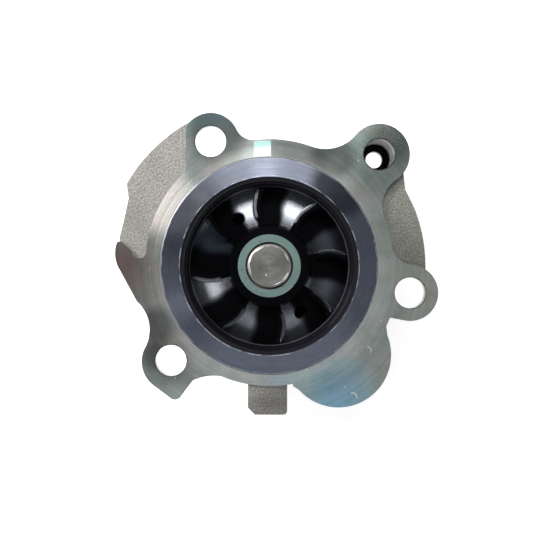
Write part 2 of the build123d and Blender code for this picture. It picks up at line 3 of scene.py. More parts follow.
import bpy
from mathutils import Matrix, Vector


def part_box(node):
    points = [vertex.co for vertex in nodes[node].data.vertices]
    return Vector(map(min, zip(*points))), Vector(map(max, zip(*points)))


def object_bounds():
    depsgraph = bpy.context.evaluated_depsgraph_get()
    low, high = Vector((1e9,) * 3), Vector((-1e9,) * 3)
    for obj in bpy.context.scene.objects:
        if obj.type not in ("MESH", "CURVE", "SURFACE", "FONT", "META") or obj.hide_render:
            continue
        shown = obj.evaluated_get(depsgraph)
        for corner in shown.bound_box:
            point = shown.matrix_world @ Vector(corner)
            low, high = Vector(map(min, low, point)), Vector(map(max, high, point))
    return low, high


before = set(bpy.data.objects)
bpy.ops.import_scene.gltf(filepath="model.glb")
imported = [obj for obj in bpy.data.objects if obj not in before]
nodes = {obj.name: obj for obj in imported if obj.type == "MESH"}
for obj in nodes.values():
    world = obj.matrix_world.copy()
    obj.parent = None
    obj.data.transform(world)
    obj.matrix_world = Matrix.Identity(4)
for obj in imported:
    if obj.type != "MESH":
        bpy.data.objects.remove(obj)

# The looks, the studio and the camera for a water pump. Every shown piece is a CAD node.
cad_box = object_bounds()
MM = 0.001  # one millimetre in the scene's metres
FULL_TURN = 360  # degrees

# The pump's own sizes, in millimetres from the shaft's axis and from the flange's face.
flange_face = 0.0
spigot_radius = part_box("flange_o_ring")[1].x / MM
spigot_top = 10.0
pocket_radius = 17.0
pocket_depth = 8.0
bolt_hole_radius = 4.5
holes = ((-17.0, 36.1), (31.9, 32.4), (40.8, -7.8), (-28.5, -27.4))
eye_edge = 24.4
rim_edge_radius = 29.72
hub_radius = 11.3
throat_radius = 21.7
bush_bore = 6.7
bush_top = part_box("impeller_bush")[1].z / MM
shaft_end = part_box("pump_shaft")[1].z / MM
chamfer_inner, chamfer_depth = 5.3, 1.2
vane_count = 8
first_vane = 13.0  # degrees from +X
vane_sweep = 5.0  # degrees back from the hub to the rim


# ---------------------------------------------------------------- building materials

MIX_FIRST, MIX_SECOND, MIX_RESULT = 6, 7, 2  # the colour sockets of a Mix node
RGBA = 4  # values in a colour socket


class Look:
    """One procedural material. Its coordinates are the object's own, in millimetres."""

    def __init__(self, name, metallic, roughness, anisotropic=0.0, specular=0.5):
        self.material = bpy.data.materials.new(name)
        self.material.use_nodes = True
        self.tree = self.material.node_tree
        self.shader = self.tree.nodes["Principled BSDF"]
        self.set("Metallic", metallic)
        self.set("Roughness", roughness)
        self.set("Anisotropic", anisotropic)
        self.set("Specular IOR Level", specular)
        coordinates = self.node("ShaderNodeTexCoord")
        self.own_normal = coordinates.outputs["Normal"]
        self.place = self.scaled(coordinates.outputs["Object"], 1 / MM)
        self.x, self.y, self.z = self.split(self.place)
        self.roughness = roughness
        self.height = None
        self.base_normal = None

    def node(self, kind, **settings):
        made = self.tree.nodes.new(kind)
        for key, value in settings.items():
            setattr(made, key, value)
        return made

    def link(self, source, target):
        self.tree.links.new(source, target)

    def fill(self, socket, value):
        """Give an input a number, a colour or another node's output."""
        if isinstance(value, bpy.types.NodeSocket):
            self.link(value, socket)
        elif isinstance(value, tuple) and len(socket.default_value) == RGBA:
            socket.default_value = (*value, 1)
        else:
            socket.default_value = value

    def set(self, name, value):
        """Give one of the shader's own inputs a value."""
        self.fill(self.shader.inputs[name], value)

    # Arithmetic on numbers and node outputs.

    def math(self, operation, *values):
        made = self.node("ShaderNodeMath", operation=operation)
        for socket, value in zip(made.inputs, values):
            self.fill(socket, value)
        return made.outputs[0]

    def plus(self, first, second):
        return self.math("ADD", first, second)

    def minus(self, first, second):
        return self.math("SUBTRACT", first, second)

    def times(self, first, second):
        return self.math("MULTIPLY", first, second)

    def larger(self, first, second):
        return self.math("MAXIMUM", first, second)

    def short_of_one(self, amount, share):
        """1 where amount is 0, and less than 1 by this share where amount is 1."""
        return self.minus(1.0, self.times(amount, share))

    def distance(self, value, target):
        """How far a value is from a target, either way."""
        return self.math("ABSOLUTE", self.minus(value, target))

    def ease(self, value, low, high):
        """0 below low, 1 above high, smooth between. low may be above high."""
        made = self.node("ShaderNodeMapRange", interpolation_type="SMOOTHSTEP")
        self.fill(made.inputs["Value"], value)
        made.inputs["From Min"].default_value = low
        made.inputs["From Max"].default_value = high
        return made.outputs["Result"]

    def contrast(self, texture, low=0.3, high=0.7):
        """A 0 to 1 texture with its middle range stretched to run from 0 to 1."""
        return self.ease(texture, low, high)

    def swing(self, texture, spread):
        """A 0 to 1 texture as a swing of plus or minus spread."""
        middle = 0.5
        return self.times(self.minus(texture, middle), 2 * spread)

    # Vectors.

    def join(self, x, y, z):
        made = self.node("ShaderNodeCombineXYZ")
        for socket, value in zip(made.inputs, (x, y, z)):
            self.fill(socket, value)
        return made.outputs[0]

    def split(self, vector):
        made = self.node("ShaderNodeSeparateXYZ")
        self.link(vector, made.inputs[0])
        return made.outputs

    def vector(self, operation, *values):
        made = self.node("ShaderNodeVectorMath", operation=operation)
        for socket, value in zip(made.inputs, values):
            self.fill(socket, value)
        return made.outputs[0]

    def scaled(self, vector, factor):
        made = self.node("ShaderNodeVectorMath", operation="SCALE")
        self.link(vector, made.inputs[0])
        self.fill(made.inputs["Scale"], factor)
        return made.outputs[0]

    def in_world(self, vector, kind):
        """An object-space vector turned with the object, as the shader expects it."""
        made = self.node(
            "ShaderNodeVectorTransform", vector_type=kind, convert_from="OBJECT", convert_to="WORLD",
        )
        self.link(vector, made.inputs[0])
        return made.outputs[0]

    # Places on the pump, in millimetres.

    def radius(self, centre=(0.0, 0.0)):
        """Distance from a line along Z through the centre."""
        dx = self.minus(self.x, centre[0])
        dy = self.minus(self.y, centre[1])
        return self.math("SQRT", self.plus(self.times(dx, dx), self.times(dy, dy)))

    def angle(self):
        """Angle about the shaft in radians."""
        return self.math("ARCTAN2", self.y, self.x)

    def spot(self, centre, reach, soft=0.6):
        """1 near a point in plan and 0 beyond its reach. soft is the share of the reach that fades."""
        return self.ease(self.radius(centre), reach, reach * (1 - soft))

    def line(self, value, target, outer, inner):
        """1 where a value is within inner of a target, and 0 beyond outer."""
        return self.ease(self.distance(value, target), outer, inner)

    # Textures.

    def noise(self, size, detail=3.0, rough=0.55, place=None, warp=0.0):
        """Noise from 0 to 1 with lumps of about this size in millimetres."""
        made = self.node("ShaderNodeTexNoise")
        self.link(place or self.place, made.inputs["Vector"])
        made.inputs["Scale"].default_value = 1 / size
        made.inputs["Detail"].default_value = detail
        made.inputs["Roughness"].default_value = rough
        made.inputs["Distortion"].default_value = warp
        return made.outputs[0]

    def rings(self, pitch, drift=0.15, across=None):
        """Turning marks about the shaft: bands of this pitch that vary slowly along each ring."""
        along = self.times(self.angle(), drift)
        place = self.join(across or self.radius(), along, 0.0)
        return self.noise(pitch, detail=4.0, rough=0.7, place=place)

    def cells(self, pitch):
        """Distance to the nearest of many points about this far apart, as a share of the pitch."""
        made = self.node("ShaderNodeTexVoronoi")
        self.link(self.place, made.inputs["Vector"])
        made.inputs["Scale"].default_value = 1 / pitch
        return made.outputs["Distance"]

    def dots(self, pitch, outer, inner):
        """1 within inner of each point of the cells and 0 beyond outer, as shares of the pitch."""
        return self.ease(self.cells(pitch), outer, inner)

    # Colour and relief.

    def blend(self, amount, first, second, mode="MIX"):
        """Mix two colours by an amount from 0 to 1."""
        made = self.node("ShaderNodeMix", data_type="RGBA", blend_type=mode)
        self.fill(made.inputs["Factor"], amount)
        self.fill(made.inputs[MIX_FIRST], first)
        self.fill(made.inputs[MIX_SECOND], second)
        return made.outputs[MIX_RESULT]

    def tint(self, amount, colour, tint):
        """The colour multiplied by a tint, by an amount from 0 to 1."""
        return self.blend(amount, colour, tint, mode="MULTIPLY")

    def shade(self, colour, factor):
        """The colour made darker or lighter."""
        return self.tint(1.0, colour, (factor, factor, factor))

    def bump(self, height, depth):
        """Add relief: depth is in millimetres for a height of 1."""
        relief = self.times(height, depth)
        self.height = relief if self.height is None else self.plus(self.height, relief)

    def draw_out_gloss(self):
        """Draw highlights out across the turning marks, away from the shaft."""
        outward = self.join(self.x, self.y, 0.0)
        self.set("Tangent", self.in_world(outward, "VECTOR"))

    def lean_outward(self, slope, weight):
        """Ease the shading normal towards a shallow cone about the shaft of this slope."""
        smallest_reach = 1.0
        across = self.math("DIVIDE", slope, self.larger(self.radius(), smallest_reach))
        cone = self.join(self.times(self.x, across), self.times(self.y, across), 1.0)
        cone = self.vector("NORMALIZE", cone)
        own = self.scaled(self.own_normal, self.minus(1.0, weight))
        mixed = self.vector("NORMALIZE", self.vector("ADD", own, self.scaled(cone, weight)))
        self.base_normal = self.in_world(mixed, "NORMAL")

    def finish(self, colour, *swings):
        """Link the colour, the roughness with these swings added to it, and the relief."""
        self.set("Base Color", colour)
        roughness = self.roughness
        for swing in swings:
            roughness = self.plus(roughness, swing)
        self.set("Roughness", roughness)
        if self.height is not None:
            made = self.node("ShaderNodeBump")
            made.inputs["Strength"].default_value = 1.0
            made.inputs["Distance"].default_value = MM
            self.link(self.height, made.inputs["Height"])
            if self.base_normal is not None:
                self.link(self.base_normal, made.inputs["Normal"])
            self.set("Normal", made.outputs[0])
        return self.material


def dress(node, *materials):
    """Give a CAD node new materials, the first on every face."""
    mesh = nodes[node].data
    mesh.materials.clear()
    for material in materials:
        mesh.materials.append(material)
    mesh.polygons.foreach_set("material_index", [0] * len(mesh.polygons))


def paint(node, slot, chosen):
    """Put the faces that chosen(centre in mm, normal) picks into another material slot."""
    for face in nodes[node].data.polygons:
        if chosen(face.center / MM, face.normal):
            face.material_index = slot


# ---------------------------------------------------------------- metals

WHITE = (1.0, 1.0, 1.0)

PAINTED_REFLECTIONS = (  # painted reflections on the machined face, tinted light and dark patches: centre in plan, reach, strength, colour
    ((-44.0, 0.0), 19.0, 1.0, (0.36, 0.265, 0.26)),
    ((-36.0, -16.0), 15.0, 0.9, (0.31, 0.295, 0.295)),
    ((-29.0, -28.0), 9.0, 0.85, (0.27, 0.27, 0.265)),
    ((-26.5, -38.5), 6.0, 0.7, (0.62, 0.72, 0.76)),
    ((-17.0, 45.0), 12.0, 0.9, (0.38, 0.52, 0.57)),
    ((-7.0, 40.0), 7.0, 0.7, (0.32, 0.38, 0.38)),
    ((33.0, 36.0), 22.0, 0.95, (0.33, 0.38, 0.355)),
    ((34.0, 10.0), 12.0, 0.6, (0.50, 0.58, 0.54)),
    ((43.0, -8.0), 11.0, 0.8, (0.66, 0.66, 0.60)),
    ((20.0, -38.0), 16.0, 0.9, (0.34, 0.62, 0.83)),
    ((4.0, -34.0), 9.0, 0.7, (0.58, 0.70, 0.82)),
)
PAINTED_SHADE_PATCHES = (  # painted shade on the machined face, dark patches: centre in plan, reach, share of the colour it keeps
    ((-15.0, 39.5), 13.5, 0.28),
    ((8.0, 37.5), 16.0, 0.36),
    ((18.5, 31.5), 9.0, 0.42),
    ((-18.6, 28.4), 7.0, 0.75),
    ((-32.5, -17.0), 7.0, 0.50),
    ((-33.0, -26.0), 6.0, 0.55),
    ((35.0, 36.0), 9.0, 0.62),
)
FLAWS = (  # on the machined face: pitch, outer and inner edge as shares of it, strength, colour
    (3.1, 0.055, 0.03, 0.8, (0.95, 0.97, 0.96)),
    (7.5, 0.040, 0.028, 0.9, (0.97, 0.98, 0.98)),
    (4.3, 0.035, 0.02, 0.7, (0.12, 0.13, 0.13)),
)
SCRATCHES = (  # bright curls on the lobe: centre of the curl, its radius, middle of the scratch
    ((28.3, -24.6), 1.2, (29.6, -23.8)),
    ((24.0, -38.0), 1.3, (24.9, -37.0)),
)


def painted_light_on_face(look, reach):
    """The machined face's colour with painted light: lighter near the impeller and warm and bright at the
    upper left as painted highlights, with painted reflections and painted shade patches.
    """
    bright_reach, dim_reach = 30.5, 40.0
    bright, painted_lighting, warm_highlight = (0.86, 0.89, 0.87), (0.55, 0.61, 0.585), (1.0, 0.95, 0.92)
    # Painted light: lighter near the impeller, dimmer further out.
    colour = look.blend(look.ease(reach, bright_reach, dim_reach), bright, painted_lighting)
    # Painted highlight: a warm pool of light at the upper left.
    painted_warm_highlight = look.spot((-31.5, 18.5), 14.0, soft=0.8)
    colour = look.blend(painted_warm_highlight, colour, warm_highlight)
    # Painted reflections: tinted light and dark patches blended into the face's colour.
    for centre, extent, amount, stain_and_painted_light in PAINTED_REFLECTIONS:
        weight = look.times(look.spot(centre, extent, soft=0.95), amount)
        colour = look.blend(weight, colour, stain_and_painted_light)
    # Painted shade: darker patches on the face.
    for centre, extent, share in PAINTED_SHADE_PATCHES:
        colour = look.blend(look.spot(centre, extent), colour, look.shade(colour, share))
    return colour


def painted_streak_highlight(look, colour, reach):
    """The colour with one painted highlight streak across the top of the flange, bluish at its outer end."""
    streak_x, edge_outside, edge_inside = -2.0, 2.7, 2.2
    outer_end = look.ease(reach, 37.0, 35.6)
    top_half = look.ease(look.y, 27.0, 29.0)
    # Painted highlight: a bright radial streak at the top.
    painted_streak = look.times(look.line(look.x, streak_x, edge_outside, edge_inside), outer_end)
    fringe = look.blend(look.ease(reach, 33.5, 35.5), WHITE, (0.62, 0.95, 0.95))
    return look.blend(look.times(painted_streak, top_half), colour, fringe)


def machined_aluminium():
    """Face-turned about the shaft, with soft blotches and flecks, and with painted reflections, painted
    shade and painted highlights.
    """
    look = Look("machined_aluminium", metallic=1.0, roughness=0.16, anisotropic=1.0)
    look.draw_out_gloss()
    reach = look.radius()
    colour = painted_streak_highlight(look, painted_light_on_face(look, reach), reach)

    mottle = look.contrast(look.noise(9.0, warp=0.6), 0.36, 0.64)
    green_film, pink_film = (0.955, 1.02, 1.00), (1.03, 0.985, 0.98)
    colour = look.tint(1.0, colour, look.blend(mottle, green_film, pink_film))
    blotches = look.noise(5.0, detail=5.0)
    colour = look.tint(look.contrast(blotches, 0.40, 0.75), colour, (0.80, 0.86, 0.83))

    marks = look.rings(0.30)
    turned = look.blend(look.contrast(marks, 0.25, 0.75), look.shade(colour, 0.88), look.shade(colour, 1.10))
    smeared_reach, turned_reach = 48.0, 38.0
    colour = look.blend(look.ease(reach, smeared_reach, turned_reach), colour, turned)
    waves = look.contrast(look.rings(1.6, drift=0.4), 0.35, 0.65)
    colour = look.blend(waves, look.shade(colour, 0.94), look.shade(colour, 1.05))

    for pitch, outer, inner, amount, flaw in FLAWS:
        colour = look.blend(look.times(look.dots(pitch, outer, inner), amount), colour, flaw)
    for centre, bend, middle in SCRATCHES:
        curl = look.line(look.radius(centre), bend, 0.24, 0.12)
        colour = look.blend(look.times(curl, look.spot(middle, 1.5, soft=0.3)), colour, WHITE)

    look.bump(marks, 0.0016)
    look.bump(look.noise(0.22, detail=2.0), 0.0008)
    return look.finish(colour, look.swing(marks, 0.025), look.swing(blotches, 0.03))


def cast_aluminium():
    """As cast and shot-blasted: fine even grain, a little greener on the right, darker on the tab, with a
    painted highlight along the tab's root.
    """
    look = Look("cast_aluminium", metallic=0.8, roughness=0.50)
    grain = look.noise(0.5, detail=4.0, rough=0.65)
    colour = look.blend(look.contrast(grain), (0.165, 0.165, 0.158), (0.42, 0.415, 0.397))
    colour = look.tint(look.contrast(look.noise(8.0), 0.35, 0.7), colour, (0.86, 0.85, 0.82))
    colour = look.tint(look.ease(look.x, 0.0, 30.0), colour, (0.99, 1.02, 0.98))
    tab = look.ease(look.y, -36.0, -40.0)
    # Painted highlight: a lighter band along the tab's root.
    tab_root_highlight = look.minus(look.ease(look.y, -33.0, -35.0), tab)
    colour = look.blend(tab_root_highlight, colour, look.shade(colour, 1.5))
    colour = look.blend(tab, colour, look.shade(colour, 0.92))
    look.bump(grain, 0.055)
    look.bump(look.cells(0.7), 0.03)
    return look.finish(colour, look.swing(grain, 0.12))


def bored_aluminium():
    """Walls of the bores and of the seal pocket: bright at the mouth and darkened further in as painted
    shade.
    """
    look = Look("bored_aluminium", metallic=0.9, roughness=0.36)
    along_x = 0.1  # the marks are ten times as long as they are high
    marks = look.noise(0.25, place=look.join(look.times(look.x, along_x), 0.0, look.z))
    stain_and_painted_light = look.noise(2.0, detail=4.0)
    depth = look.plus(look.z, look.swing(stain_and_painted_light, 1.2))
    bright = look.blend(look.contrast(marks), (0.54, 0.53, 0.55), (0.74, 0.73, 0.75))
    shade_starts, shade_full = -6.5, -9.0
    # Painted shade: the walls go nearly black further in, with a ragged edge.
    colour = look.blend(look.ease(depth, shade_starts, shade_full), bright, (0.012, 0.011, 0.011))
    look.bump(marks, 0.01)
    return look.finish(colour, look.swing(stain_and_painted_light, 0.1))


def painted_shade_casting():
    """Painted shade for the wet side under the impeller: a dark casting colour that stands in for the shade
    there.
    """
    look = Look("painted_shade_casting", metallic=0.3, roughness=0.68)
    mottle = look.noise(1.6, detail=5.0)
    colour = look.blend(look.contrast(mottle), (0.035, 0.034, 0.033), (0.085, 0.080, 0.075))
    look.bump(mottle, 0.03)
    return look.finish(colour, look.swing(mottle, 0.15))


def turned_steel(name, colour, roughness, pitch=0.25, depth=0.002, nick=None):
    """Steel machined round the shaft axis, with a small bright nick if one is placed."""
    look = Look(name, metallic=1.0, roughness=roughness, anisotropic=0.5)
    look.draw_out_gloss()
    marks = look.rings(pitch, across=look.plus(look.radius(), look.z))
    smear = look.noise(3.0, detail=4.0)
    dark_share, light_share = 0.72, 1.15
    dark = tuple(dark_share * part for part in colour)
    light = tuple(min(1.0, light_share * part) for part in colour)
    shade = look.blend(look.contrast(marks), dark, light)
    shade = look.blend(look.times(look.contrast(smear, 0.45, 0.75), 0.4), shade, dark)
    if nick:
        shade = look.blend(look.spot(nick, 0.3, soft=0.4), shade, WHITE)
    look.bump(marks, depth)
    return look.finish(shade, look.swing(smear, 0.08))


def bush_metal():
    """Greenish plated metal, faced by turning, with a few dark pits."""
    look = Look("bush_metal", metallic=0.9, roughness=0.40)
    marks = look.rings(0.2)
    shade = look.blend(look.contrast(marks), (0.135, 0.205, 0.192), (0.200, 0.285, 0.270))
    shade = look.blend(look.times(look.dots(1.5, 0.15, 0.10), 0.8), shade, (0.006, 0.012, 0.012))
    look.bump(marks, 0.003)
    return look.finish(shade, look.swing(marks, 0.08))


def sintered_steel():
    """Pressed and sintered: stained grey, with fine open pores."""
    look = Look("sintered_steel", metallic=0.95, roughness=0.40)
    pores = look.dots(0.45, 0.16, 0.05)
    stain_and_painted_light = look.noise(5.0, detail=5.0)
    shade = look.blend(look.contrast(stain_and_painted_light, 0.35, 0.7), (0.28, 0.28, 0.27), (0.44, 0.43, 0.41))
    shade = look.blend(look.times(pores, 0.7), shade, (0.08, 0.08, 0.08))
    look.bump(pores, -0.02)
    look.bump(look.noise(0.3), 0.01)
    return look.finish(shade, look.swing(stain_and_painted_light, 0.12))


# ---------------------------------------------------------------- plastics and rubber

HANDLED = (  # how the passages' polish differs: centre in plan, reach, share that fades, change in gloss
    ((-15.0, -7.0), 9.0, 0.5, 1.0),
    ((-13.5, 5.5), 10.0, 0.4, -0.9),
    ((15.0, 6.0), 9.0, 0.4, -0.65),
)


def behind_vane_shade(look, reach):
    """Painted shade: 1 behind each vane, on the hub and at the vanes' roots, and 0 on the polished half."""
    straight_to = 15.5  # from here to the throat the vanes sweep back
    sweep = look.times(look.ease(reach, straight_to, throat_radius), vane_sweep / FULL_TURN)
    turn = look.plus(look.math("DIVIDE", look.angle(), 2 * math.pi), 1.0 - first_vane / FULL_TURN)
    phase = look.math("FRACT", look.times(look.plus(turn, sweep), vane_count))  # 0 to 1 between vanes
    widening = look.times(look.ease(reach, 12.0, 20.0), 0.12)  # the polish is wider towards the throat
    polish_ends, shadow_starts = 0.26, 0.46
    behind = look.ease(look.minus(phase, widening), polish_ends, shadow_starts)
    hub = look.ease(reach, hub_radius + 0.5, hub_radius - 0.6)
    root_starts, root_full = 0.08, 0.03
    near_hub = look.plus(0.5, look.times(look.ease(reach, 14.5, 13.5), 0.5))
    root = look.times(look.ease(phase, root_starts, root_full), near_hub)
    return look.larger(look.larger(behind, hub), root)


def gloss_moulding():
    """Black moulding, polished on the leading half of each passage, with painted shade behind each vane, on
    the hub and at the vanes' roots: darker, with little gloss there.
    """
    look = Look("gloss_moulding", metallic=0.0, roughness=0.22, anisotropic=0.75)
    look.draw_out_gloss()
    flow = look.noise(5.0, warp=1.0)
    haze = look.noise(1.2, detail=4.0)
    reach = look.radius()
    vane_shade = behind_vane_shade(look, reach)

    upward = look.split(look.own_normal)[2]
    open_face = look.times(look.ease(upward, 0.2, 0.45), look.ease(reach, throat_radius, 20.0))
    hub_slope, slope_lost = 0.29, 0.12  # the cone gets shallower towards the throat
    slope = look.minus(hub_slope, look.times(look.ease(reach, 12.0, 19.0), slope_lost))
    look.lean_outward(slope, look.times(open_face, 0.85))

    shade = look.blend(look.contrast(flow, 0.35, 0.75), (0.006, 0.007, 0.012), (0.016, 0.022, 0.042))
    # Painted reflection: a lighter blue patch in the passage at the left.
    shade = look.blend(look.spot((-17.0, 8.0), 8.0, soft=0.5), shade, (0.020, 0.032, 0.048))
    # Painted shade: darker colour behind each vane, on the hub and at the vanes' roots.
    shade = look.blend(vane_shade, shade, (0.006, 0.006, 0.0075))

    lower_gloss, upper_gain = 0.45, 0.55
    handled = look.plus(lower_gloss, look.times(look.ease(look.y, -9.0, 8.0), upper_gain))
    for centre, extent, soft, change in HANDLED:
        handled = look.plus(handled, look.times(look.spot(centre, extent, soft=soft), change))
    least_gloss = 0.08
    polish = look.larger(handled, least_gloss)
    # Painted shade: almost no gloss behind each vane.
    look.set("Specular IOR Level", look.times(look.short_of_one(vane_shade, 0.97), polish))
    look.set("Specular Tint", (0.86, 0.91, 1.0))
    polished_ior, shadow_ior = 2.75, 1.35
    look.set("IOR", look.minus(polished_ior, look.times(vane_shade, polished_ior - shadow_ior)))

    look.bump(look.rings(0.5, drift=0.3), 0.0025)
    look.bump(flow, 0.03)
    look.bump(haze, 0.002)
    scuffed = look.times(look.spot((-13.0, 6.0), 9.0, soft=0.4), 0.4)
    return look.finish(shade, look.swing(haze, 0.05), look.times(vane_shade, 0.2), scuffed)


def bell_moulding():
    """The shroud away from its turned face: the same black, with faint rings in the bell mouth."""
    look = Look("bell_moulding", metallic=0.0, roughness=0.2, specular=0.3)
    rings = look.rings(0.6, across=look.plus(look.radius(), look.z))
    shade = look.blend(look.contrast(rings, 0.35, 0.7), (0.004, 0.004, 0.006), (0.012, 0.012, 0.018))
    # Painted highlight: a lighter thin line along the throat's edge.
    throat_highlight = 21.95
    shade = look.blend(look.line(look.radius(), throat_highlight, 0.17, 0.08), shade, (0.055, 0.058, 0.066))
    look.bump(rings, 0.006)
    return look.finish(shade, look.swing(rings, 0.06))


def turned_moulding():
    """The shroud's face: black moulding turned flat, smudged by hands, with painted highlights along its
    edges.
    """
    look = Look("turned_moulding", metallic=0.0, roughness=0.24, anisotropic=0.8)
    look.draw_out_gloss()
    reach = look.radius()
    marks = look.rings(0.16, drift=1.5)
    cloud = look.noise(5.0, detail=4.0)
    shade = look.blend(look.contrast(marks), (0.018, 0.022, 0.034), (0.034, 0.040, 0.058))
    shade = look.blend(look.times(look.contrast(cloud, 0.4, 0.7), 0.4), shade, (0.040, 0.046, 0.068))
    chip = look.spot((6.6, 24.2), 0.5, soft=0.3)
    shade = look.blend(chip, shade, (0.004, 0.004, 0.005))

    left_smudge = look.spot((-26.0, 13.0), 17.0, soft=0.7)
    right_smudge = look.spot((19.5, 21.5), 11.0, soft=0.5)
    smudge = look.larger(left_smudge, right_smudge)
    shade = look.blend(smudge, shade, look.shade(shade, 0.4))
    streaks = look.contrast(look.rings(0.35, drift=0.8))
    least_streak, streak_gain = 0.78, 0.34
    streaky = look.plus(least_streak, look.times(streaks, streak_gain))
    look.set("Specular IOR Level", look.times(look.short_of_one(smudge, 0.82), streaky))
    look.set("IOR", 1.7)
    cool_tint, pale_tint = (0.72, 0.80, 1.0), (0.80, 0.86, 1.0)
    look.set("Specular Tint", look.blend(look.contrast(cloud), cool_tint, pale_tint))

    lip_radius, rim_starts, rim_full = 24.7, 29.5, 29.7
    # Painted highlights: lighter lines along the eye's lip and the outer rim, broken up by noise.
    edges = look.larger(look.line(reach, lip_radius, 0.17, 0.09), look.ease(reach, rim_starts, rim_full))
    painted_lighting = look.times(edges, look.contrast(look.noise(3.0), 0.38, 0.6))
    shade = look.blend(painted_lighting, shade, (0.24, 0.26, 0.30))
    look.bump(marks, 0.0022)
    return look.finish(shade, look.swing(cloud, 0.05))


def rubber(name, colour, roughness=0.55):
    """Rubber of this colour with a pale bloom in patches."""
    look = Look(name, metallic=0.0, roughness=roughness, specular=0.4)
    bloom = look.noise(2.5, detail=5.0)
    bloom_gain, bloom_grey = 2.0, 0.01
    light = tuple(bloom_gain * part + bloom_grey for part in colour)
    shade = look.blend(look.times(look.contrast(bloom, 0.45, 0.8), 0.5), colour, light)
    look.bump(look.noise(0.2), 0.01)
    return look.finish(shade, look.swing(bloom, 0.1))


def matte_moulding(name, colour):
    """Plain moulding or lapped ring of this colour, with a faint cloud of darker tone."""
    look = Look(name, metallic=0.0, roughness=0.45, specular=0.4)
    grain = look.noise(0.3)
    dark_share = 0.7
    dark = tuple(dark_share * part for part in colour)
    shade = look.blend(look.contrast(look.noise(4.0)), dark, colour)
    look.bump(grain, 0.01)
    return look.finish(shade, look.swing(grain, 0.1))


# ---------------------------------------------------------------- dressing the CAD nodes

edge_band = 0.3  # a face this near a height counts as on it
bush_band = 0.05  # the same on the bush's small end face
wall_band = 0.1  # a wall this far outside a radius counts as on it
# How far up a face looks, as its normal's z: 1 on a level face and 0 on an upright one.
level_least = 0.95
shroud_top_least = 0.6
rounded_least, rounded_most = 0.1, 0.985
chamfer_least = 0.2


def reach_of(place):
    """Distance of a point from the shaft's axis."""
    return math.hypot(place.x, place.y)


def is_machined(centre, normal):
    """The flange's top face, the spigot's side and the hole mouths."""
    return centre.z > flange_face - edge_band


def is_bored(centre, normal):
    """Walls of the bolt holes, the deep bore and the seats along the shaft."""
    in_hole = any(math.hypot(centre.x - x, centre.y - y) < bolt_hole_radius + wall_band for x, y in holes)
    in_seat = reach_of(centre) < pocket_radius + wall_band
    return centre.z < flange_face - edge_band and (in_hole or in_seat)


def is_under_impeller(centre, normal):
    """The spigot's end and its seal pocket, under the impeller."""
    reach = reach_of(centre)
    in_pocket = reach < pocket_radius + wall_band and centre.z > -pocket_depth
    on_end = reach < spigot_radius and centre.z > spigot_top - edge_band and normal.z > level_least
    return in_pocket or on_end


def is_turned_face(centre, normal):
    """The shroud's flat top, outside its eye."""
    return normal.z > shroud_top_least and reach_of(centre) > eye_edge


def is_rim_edge(centre, normal):
    """The rounded outer edge of the shroud's top."""
    return rounded_least < normal.z < rounded_most and reach_of(centre) > rim_edge_radius


def is_in_bush_bore(centre, normal):
    """The bush's inside, below its end face."""
    return centre.z < bush_top - bush_band and reach_of(centre) < bush_bore


def is_chamfer(centre, normal):
    """The chamfer round the shaft's end."""
    on_end = centre.z > shaft_end - chamfer_depth
    return on_end and reach_of(centre) > chamfer_inner and normal.z > chamfer_least


MACHINED, BORED, SHADED_UNDERSIDE = 1, 2, 3  # slots after the raw casting's
# The spigot's end and its seal pocket get the painted shade casting.
dress("pump_body", cast_aluminium(), machined_aluminium(), bored_aluminium(), painted_shade_casting())
paint("pump_body", MACHINED, is_machined)
paint("pump_body", BORED, is_bored)
paint("pump_body", SHADED_UNDERSIDE, is_under_impeller)

TURNED, RIM_HIGHLIGHT = 1, 2  # slots after the bell mouth's
# Painted highlight: the black shroud's rounded rim gets a lighter metallic steel finish so that it shows
# bright.
rim_highlight_steel = turned_steel("rim_highlight_steel", (0.30, 0.32, 0.35), 0.35)
dress("impeller_shroud", bell_moulding(), turned_moulding(), rim_highlight_steel)
paint("impeller_shroud", TURNED, is_turned_face)
paint("impeller_shroud", RIM_HIGHLIGHT, is_rim_edge)

BUSH_BORE = 1  # the slot after the bush's end face
# The bush's bore gets the painted shade casting too.
dress("impeller_bush", bush_metal(), painted_shade_casting())
paint("impeller_bush", BUSH_BORE, is_in_bush_bore)

CHAMFER = 1  # the slot after the shaft's own
shaft_steel = turned_steel("shaft_steel", (0.29, 0.29, 0.275), 0.28, pitch=0.35, nick=(-0.9, -2.5))
# Painted highlight: the chamfer's steel is far lighter than the shaft's, so that it shows bright all round.
dress("pump_shaft", shaft_steel, turned_steel("chamfer_highlight_steel", (0.98, 0.98, 0.96), 0.48))
paint("pump_shaft", CHAMFER, is_chamfer)

steel = turned_steel("ground_steel", (0.52, 0.51, 0.49), 0.26)
pressed = turned_steel("pressed_steel", (0.60, 0.60, 0.58), 0.22, pitch=0.6, depth=0.001)
black_rubber = rubber("black_rubber", (0.018, 0.018, 0.018))
cage = matte_moulding("cage_moulding", (0.30, 0.22, 0.12))
WHOLE = {  # nodes of one material
    "impeller": gloss_moulding(),
    "toothed_pulley": sintered_steel(),
    "flange_o_ring": rubber("o_ring_rubber", (0.012, 0.03, 0.02), 0.4),
    "bearing_outer_ring": steel,
    "bearing_balls": turned_steel("ball_steel", (0.75, 0.75, 0.75), 0.08, depth=0.0),
    "bearing_rollers": steel,
    "ball_cage": cage,
    "roller_cage": cage,
    "front_bearing_seal": black_rubber,
    "rear_bearing_seal": black_rubber,
    "seal_case": painted_shade_casting(),
    "seal_spring": steel,
    "spring_retainer": pressed,
    "seal_sleeve": pressed,
    "seal_bellows": black_rubber,
    "counter_ring_boot": black_rubber,
    "slinger_ring": black_rubber,
    "carbon_ring": matte_moulding("lapped_carbon", (0.05, 0.05, 0.055)),
    "counter_ring": matte_moulding("lapped_ceramic", (0.09, 0.09, 0.10)),
}
